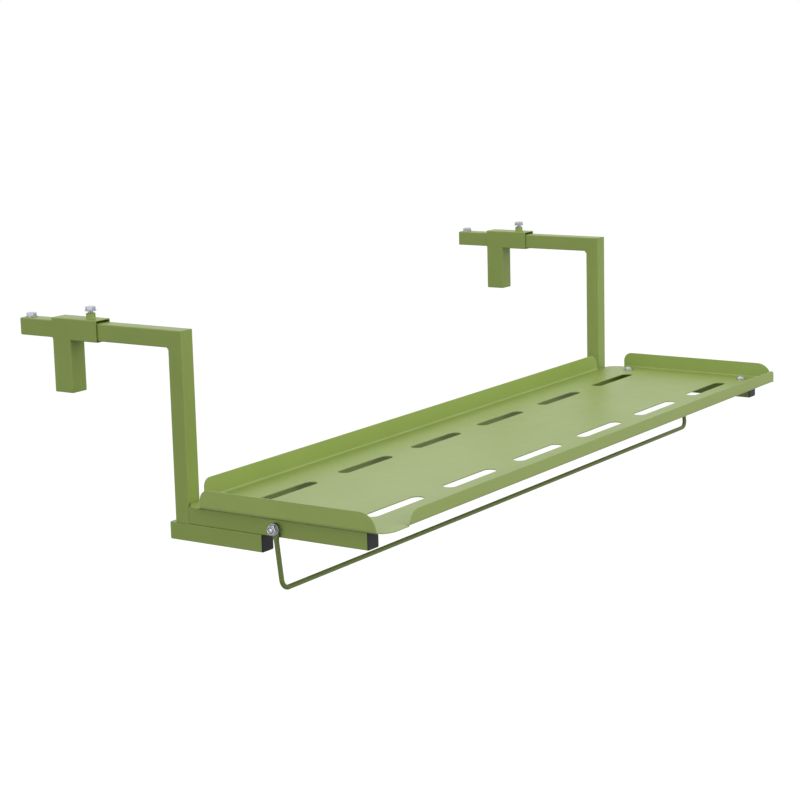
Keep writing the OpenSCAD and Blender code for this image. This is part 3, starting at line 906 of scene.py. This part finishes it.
class BuildHangingRail(BarTableOperator):
    """Hanging rail: one rod bent at both corners, its ends pressed flat to eyes"""

    bl_idname = "bar_table.hanging_rail"
    bl_label = "Hanging Rail"

    def execute(self, context):
        shapes = context.scene.bar_table_shapes
        low, high = corners("hanging_rail")
        pivot = sum(corners("left_pivot_bolt")) / 2 * [0, 1, 1]
        eye = high[2] - pivot[2]
        leg_x = high[0] - ROD_RADIUS
        # The rail hangs in a plane that is tilted about the bolts' line
        run_y, run_z = low[1:] + ROD_RADIUS - pivot[1:]
        tilt = math.atan2(-run_y, -run_z)
        run_z = -math.hypot(run_y, run_z)
        neck = 2.2 * eye
        (left, left_side), (right, right_side) = (
            self.leg(sign, leg_x, eye, neck, run_z) for sign in (-1, 1)
        )
        along = np.linspace(0.05, 0.95, 11)[:, None]
        run = left[-1] * (1 - along) + right[-1] * along
        path = np.vstack([left, run, right[::-1]])
        side = np.vstack([left_side, np.tile([0.0, -1.0], (11, 1)), right_side[::-1]])
        # Share of flattening: nothing at the neck's foot, all at the eye, eased at both ends
        share = np.clip((path[:, 1] + neck) / (neck - 0.6 * eye), 0, 1)
        share = (share * share * (3 - 2 * share))[:, None]
        half_thick = ROD_RADIUS + (EYE_THICK / 2 - ROD_RADIUS) * share
        half_wide = ROD_RADIUS + (0.72 * eye - ROD_RADIUS) * share**1.15
        # Section: thickness times cos and width times sin of the angle, each to a power that
        # turns the circle into a rounded flat
        power = 1 - 0.45 * share
        angle = np.radians(np.arange(40) * 9.0)
        c, s = np.cos(angle), np.sin(angle)
        a = half_thick * np.sign(c) * np.abs(c) ** power
        b = half_wide * np.sign(s) * np.abs(s) ** power
        x, z = path[:, :1] + a * side[:, :1], path[:, 1:] + a * side[:, 1:]
        rows = np.stack(
            [x, b * math.cos(tilt) + z * math.sin(tilt), z * math.cos(tilt) - b * math.sin(tilt)],
            -1,
        ) + pivot
        bore = shapes.bolt_radius + THREAD_FIT
        eyes = [
            ring_shell((bore, -EYE_THICK / 2), (eye, EYE_THICK / 2), 0.0008,
                       pivot + [sign * leg_x, 0, 0], 0)
            for sign in (-1, 1)
        ]
        # The rail takes the darker coat, painted shade for the shade under the tray
        put_piece(
            context, "hanging_rail_bent", [skin(rows)] + eyes, "hanging_rail",
            "rod_powder_coat", ["hanging_rail"], smooth_angle=60.0,
        )
        return {"FINISHED"}

    def leg(self, sign, leg_x, eye, neck, run_z):
        """Axis of one leg in the rail's plane, with the outer normal: down and a quarter bend."""
        down = np.concatenate([np.linspace(-0.55 * eye, -neck, 17), [0.5 * (run_z - neck)]])
        swing = np.radians(np.linspace(0, 90, 13))
        c, s = np.cos(swing), np.sin(swing)
        bend = np.stack([leg_x - ROD_BEND * (1 - c), run_z + ROD_BEND * (1 - s)], -1)
        points = np.vstack([np.stack([np.full_like(down, leg_x), down], -1), bend])
        normals = np.vstack([np.tile([1.0, 0.0], (len(down), 1)), np.stack([c, -s], -1)])
        return points * [sign, 1], normals * [sign, 1]


class BuildEndCaps(BarTableOperator):
    """Plastic caps in the front ends of the tubes and plugs in their rear ends"""

    bl_idname = "bar_table.end_caps"
    bl_label = "End Caps"

    def execute(self, context):
        shapes = context.scene.bar_table_shapes
        for side in SIDES:
            shells = []
            for tube in ("tray_arm", "foot_tube"):
                low, high = corners(f"{side}_{tube}")
                shells.append(self.cap(shapes, low, high))
            for tube in ("foot_tube", "rail_arm"):
                low, high = corners(f"{side}_{tube}")
                shells.append(self.plug(shapes, low, high))
            put_piece(
                context, side + "_end_caps_moulded", shells, "frame", PLASTIC,
                [side + "_end_caps"],
            )
        return {"FINISHED"}

    def cap(self, shapes, low, high):
        """Stem in the tube, then a flange whose face is a soft cushion over the tube's end.

        The tube's outline is scaled along Y; the cushion's edge is a quarter ellipse, in by
        1 - cos and out by sin of the angle.
        """
        middle, half = (low + high) / 2, (high[0] - low[0]) / 2
        stem = (half - shapes.tube_wall - CAP_FIT) / half
        angle = np.radians(np.linspace(0, 90, 7))
        soft = 0.0009
        scale = np.concatenate(
            [[0.5 * stem, stem - 0.04, stem, stem, 1.0 - 0.0002 / half, 1.0],
             1 - soft / half * (1 - np.cos(angle)), [0.8, 0.5]]
        )
        start = low[1]
        y = np.concatenate(
            [start + np.array([CAP_STEM, CAP_STEM, CAP_STEM - 0.0005, 0, 0, -0.0002]),
             start - (CAP_FACE - soft) - soft * 0.85 * np.sin(angle),
             [start - CAP_FACE + 0.00006, start - CAP_FACE]]
        )
        return self.stack(block_outline(half, shapes.tube_radius), scale, y, middle)

    def plug(self, shapes, low, high):
        """Stem that ends flush with the tube's end, its face edge softened."""
        middle, half = (low + high) / 2, (high[0] - low[0]) / 2
        stem = half - shapes.tube_wall - CAP_FIT
        scale = np.array([0.5, 0.97, 1.0, 1.0, 0.985, 0.96, 0.5]) * stem / half
        y = high[1] - np.array(
            [PLUG_STEM, PLUG_STEM, PLUG_STEM - 0.0004, 0.0004, 0.0001, 0.0, 0.0]
        )
        return self.stack(block_outline(half, 0.0009), scale, y, middle)

    def stack(self, outline, scale, y, middle):
        """Skin over outlines of X and Z, stacked along Y in these sizes."""
        flat = outline * scale[:, None, None]
        y = np.broadcast_to(y[:, None], flat.shape[:2])
        return skin(np.stack([flat[..., 0] + middle[0], y, flat[..., 1] + middle[2]], -1))


class BuildTray(BarTableOperator):
    """Folded sheet tray with softened edges all round"""

    bl_idname = "bar_table.tray"
    bl_label = "Tray"

    def execute(self, context):
        sheet = bmesh.new()
        sheet.from_mesh(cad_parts["tray"].data)
        bmesh.ops.remove_doubles(sheet, verts=sheet.verts, dist=1e-6)
        mesh = bpy.data.meshes.new("tray_folded")
        sheet.to_mesh(mesh)
        sheet.free()
        mesh.materials.clear()
        # The tray takes the paler coat, painted light for the light on its sheet
        mesh.materials.append(finish_of(context, "tray_powder_coat"))
        hand_over(
            context, "tray_folded", mesh, "frame", ["tray"],
            bevel=context.scene.bar_table_shapes.sheet_edge,
        )
        return {"FINISHED"}


class BuildTrayFixings(BarTableOperator):
    """Socket bolts through the tray, their washers, the spacers and the threaded rivets"""

    bl_idname = "bar_table.tray_fixings"
    bl_label = "Tray Fixings"

    def execute(self, context):
        shapes = context.scene.bar_table_shapes
        low, high = corners("tray_bolts")
        rings, spacers, rivets = (
            corners(node) for node in ("tray_washers", "tray_spacers", "tray_rivet_nuts")
        )
        arm = corners("right_tray_arm")
        middle_x = sum(arm)[0] / 2
        wide = rings[1][0] - middle_x
        hole = shapes.bolt_radius + HOLE_FIT
        places = [
            (x, y) for x in (-middle_x, middle_x) for y in (rings[1][1] - wide, rings[0][1] + wide)
        ]
        shells = {
            ("tray_bolts_domed", "tray_bolts"): [
                self.socket_bolt(shapes, x, y, low[2], rings[1][2], high[2]) for x, y in places
            ],
            ("tray_washer_rings", "tray_washers"): [
                self.ring(hole, wide, rings, RING_EDGE, x, y) for x, y in places
            ],
            ("tray_spacer_rings", "tray_spacers"): [
                self.ring(hole, wide, spacers, 0.0002, x, y) for x, y in places
            ],
            ("tray_rivet_nuts_pressed", "tray_rivet_nuts"): [
                self.rivet(shapes, x, y, rivets[0][2], rivets[1][2], wide)
                for x, y in places
            ],
        }
        for (name, node), group in shells.items():
            put_piece(context, name, group, "frame", ZINC, [node])
        for x, y in places:
            tube = bpy.data.objects[("left" if x < 0 else "right") + "_tray_arm_tube"]
            drill(tube, (x, y, arm[1][2]), RIVET_NECK + THREAD_FIT, WALL_DRILL)
        return {"FINISHED"}

    def ring(self, hole, wide, box, edge, x, y):
        """Ring as high as a node's box, at this place on the tray."""
        low, high = box[0][2], box[1][2]
        return ring_shell((hole, 0.0), (wide, high - low), edge, np.array([x, y, low]))

    def socket_bolt(self, shapes, x, y, tip, seat, top):
        """Domed bolt: the head is a cap of a ball, and a hexagonal socket is cut into it."""
        radius, depth = shapes.bolt_radius, shapes.thread_depth
        height, head = top - seat, 0.007
        ball = (head**2 + height**2) / (2 * height)
        dome = lambda r: height - ball + np.sqrt(np.maximum(ball**2 - r**2, 0))
        socket = hex_reach(shapes.socket_flats)
        soft = 0.0002
        profile = [
            (radius - 2 * depth, tip - seat), *thread_rows(shapes, tip - seat + depth, 0.0),
            (radius, 0.0), (head - 0.0003, 0.0), (head - 0.00005, soft),
        ]
        profile += [(r, dome(r)) for r in np.linspace(head - soft, socket.max() + 2 * soft, 7)]
        profile += [
            (socket + soft, dome(socket + soft)), (socket, dome(socket) - soft),
            (socket, height - 0.0023), (0.6 * socket, height - 0.0026),
        ]
        return turned(profile, np.array([x, y, seat]))

    def rivet(self, shapes, x, y, low, high, flange):
        """Threaded rivet: flange on the arm, neck through its wall and a bulge below it."""
        bore = shapes.bolt_radius + THREAD_FIT
        neck, top, edge = RIVET_NECK, high - low, RING_EDGE
        under = top - RIVET_FLANGE
        wall = under - shapes.tube_wall
        profile = [
            (bore, 0.0), (neck - 0.0004, 0.0), (neck, 0.0004), (neck, wall - 0.004),
            (neck + 0.0007, wall - 0.003), (neck + 0.00125, wall - 0.0012), (neck + 0.0011, wall),
            (neck, wall), (neck, under), (flange - edge, under), (flange, under + edge),
            (flange, top - edge), (flange - edge, top), (bore + edge, top), (bore, top - edge),
        ]
        return turned(profile, np.array([x, y, low]), ring=True)


class BuildStage(BarTableOperator):
    """Floor, daylight, lamps and camera"""

    bl_idname = "bar_table.stage"
    bl_label = "Stage"

    def execute(self, context):
        stage = context.scene.bar_table_stage
        self.floor(context, stage)
        self.daylight(context, stage)
        for name, (size, place) in LAMPS.items():
            self.lamp(context, name, getattr(stage, name), size, np.array(place))
        self.camera(context, stage)
        context.scene.view_settings.view_transform = "Standard"
        return {"FINISHED"}

    def floor(self, context, stage):
        """Flat disc; it looks white to the camera and still takes the table's shadow."""
        radius = np.array([[2.0], [6.0], [20.0], [60.0]])
        points, quads, fans = skin(lathe(radius, 0.0, np.array([0, 0, stage.floor_height])))
        faces = quads[:, ::-1].tolist() + fans[:COLUMNS, ::-1].tolist()
        mesh = bpy.data.meshes.new("balcony_floor")
        mesh.from_pydata(points[:-1].tolist(), [], faces)
        floor = bpy.data.objects.new("balcony_floor", mesh)
        context.scene.collection.objects.link(floor)
        material = bpy.data.materials.new("pale_floor")
        material.use_nodes = True
        tree = material.node_tree
        shader = tree.nodes["Principled BSDF"]
        ray = add_node(tree, "ShaderNodeLightPath", (-900, 200)).outputs
        camera_ray = ray["Is Camera Ray"]
        feed(tree, shader, {
            "Roughness": 0.9, "Specular IOR Level": 0.1,
            "Base Color": two_tone(tree, camera_ray, FLOOR_UNSEEN, FLOOR_SEEN, (-500, 200)),
        })
        seen = reckon(tree, "MAXIMUM", camera_ray, ray["Is Glossy Ray"], (-650, -400))
        strength = reckon(tree, "MULTIPLY", seen, FLOOR_GLOW, (-500, -400))
        glow = add_node(tree, "ShaderNodeEmission", (-300, -400), {"Strength": strength})
        lit = {0: shader.outputs[0], 1: glow.outputs[0]}
        below = add_node(tree, "ShaderNodeNewGeometry", (-300, 400)).outputs["Backfacing"]
        sides = {
            0: below, 1: add_node(tree, "ShaderNodeAddShader", (100, 0), lit).outputs[0],
            2: add_node(tree, "ShaderNodeBsdfTransparent", (100, 200)).outputs[0],
        }
        mix = add_node(tree, "ShaderNodeMixShader", (300, 0), sides)
        feed(tree, tree.nodes["Material Output"], {"Surface": mix.outputs[0]})
        mesh.materials.append(material)

    def daylight(self, context, stage):
        """Even light from all sides, which looks white where it is seen."""
        world = bpy.data.worlds.new("daylight")
        world.use_nodes = True
        tree = world.node_tree
        ray = add_node(tree, "ShaderNodeLightPath", (-800, 0)).outputs
        camera_ray, clear_ray = ray["Is Camera Ray"], ray["Is Transmission Ray"]
        through = reckon(tree, "MAXIMUM", camera_ray, clear_ray, (-600, 0))
        seen = reckon(tree, "MAXIMUM", through, ray["Is Glossy Ray"], (-450, 0))
        level = add_node(tree, "ShaderNodeMix", (-250, 0), {0: seen, 2: stage.daylight, 3: 1.0})
        feed(tree, tree.nodes["Background"], {
            "Color": (1.0, 1.0, 1.0, 1.0), "Strength": level.outputs[0],
        })
        context.scene.world = world

    def lamp(self, context, name, power, size, place):
        """Soft square lamp at a place, facing the lamps' common point."""
        light = bpy.data.lights.new(name, "AREA")
        light.energy, light.size = power, size
        lamp = bpy.data.objects.new(name, light)
        context.scene.collection.objects.link(lamp)
        back = (place - LAMP_TARGET) / np.linalg.norm(place - LAMP_TARGET)
        right = np.cross([0.0, 0.0, 1.0], back)
        right /= np.linalg.norm(right)
        lamp.matrix_world = placed(right, np.cross(back, right), back, place)

    def camera(self, context, stage):
        """Camera from its direction, elevation and roll round the table."""
        a, e, r = stage.azimuth, stage.elevation, stage.roll
        back = np.array([math.sin(a) * math.cos(e), -math.cos(a) * math.cos(e), math.sin(e)])
        right = np.cross(-back, [0.0, 0.0, 1.0])
        right /= np.linalg.norm(right)
        up = np.cross(right, -back)
        camera = bpy.data.cameras.new("camera")
        camera.lens, camera.sensor_width, camera.sensor_fit = stage.lens, 36.0, "AUTO"
        camera.clip_start, camera.clip_end = 0.05, 200.0
        holder = bpy.data.objects.new("camera", camera)
        context.scene.collection.objects.link(holder)
        c, s = math.cos(r), math.sin(r)
        holder.matrix_world = placed(
            right * c + up * s, up * c - right * s, back, stage.camera_place
        )
        context.scene.camera = holder


def placed(right, up, back, place):
    """Matrix that turns an object's axes to right, up and back and moves it to a place."""
    return Matrix([[*row] for row in np.column_stack([right, up, back, place])] + [[0, 0, 0, 1]])


# Sidebar and registration


BUILDERS = (
    BuildStage, BuildFrameTubes, BuildCornerWelds, BuildClamps, BuildLockScrews, BuildStopBolts,
    BuildPivots, BuildHangingRail, BuildEndCaps, BuildTray, BuildTrayFixings,
)
GROUPS = {
    "bar_table_paint": BarTablePaint,
    "bar_table_shapes": BarTableShapes,
    "bar_table_stage": BarTableStage,
}


class BarTablePanel(bpy.types.Panel):
    """Lists the bar table's sizes, colours and builders"""

    bl_idname = "VIEW3D_PT_bar_table"
    bl_label = "Bar Table"
    bl_space_type = "VIEW_3D"
    bl_region_type = "UI"
    bl_category = "Bar Table"

    def draw(self, context):
        layout = self.layout
        for name, group in GROUPS.items():
            box = layout.box()
            for prop in group.__annotations__:
                box.prop(getattr(context.scene, name), prop)
        for builder in BUILDERS:
            layout.operator(builder.bl_idname)


CLASSES = (*GROUPS.values(), *BUILDERS, BarTablePanel)


def register():
    """Registers every class and hangs the property groups on the scene."""
    for kind in CLASSES:
        bpy.utils.register_class(kind)
    for name, group in GROUPS.items():
        setattr(bpy.types.Scene, name, bpy.props.PointerProperty(type=group))


def unregister():
    """Takes the property groups and classes off again."""
    for name in GROUPS:
        delattr(bpy.types.Scene, name)
    for kind in reversed(CLASSES):
        bpy.utils.unregister_class(kind)


def main():
    """Builds the table."""
    register()
    bpy.ops.bar_table.stage()
    bpy.ops.bar_table.frame_tubes()
    bpy.ops.bar_table.corner_welds()
    bpy.ops.bar_table.clamps()
    bpy.ops.bar_table.lock_screws()
    bpy.ops.bar_table.stop_bolts()
    bpy.ops.bar_table.pivots()
    bpy.ops.bar_table.hanging_rail()
    bpy.ops.bar_table.end_caps()
    bpy.ops.bar_table.tray()
    bpy.ops.bar_table.tray_fixings()


if __name__ == "__main__":
    main()
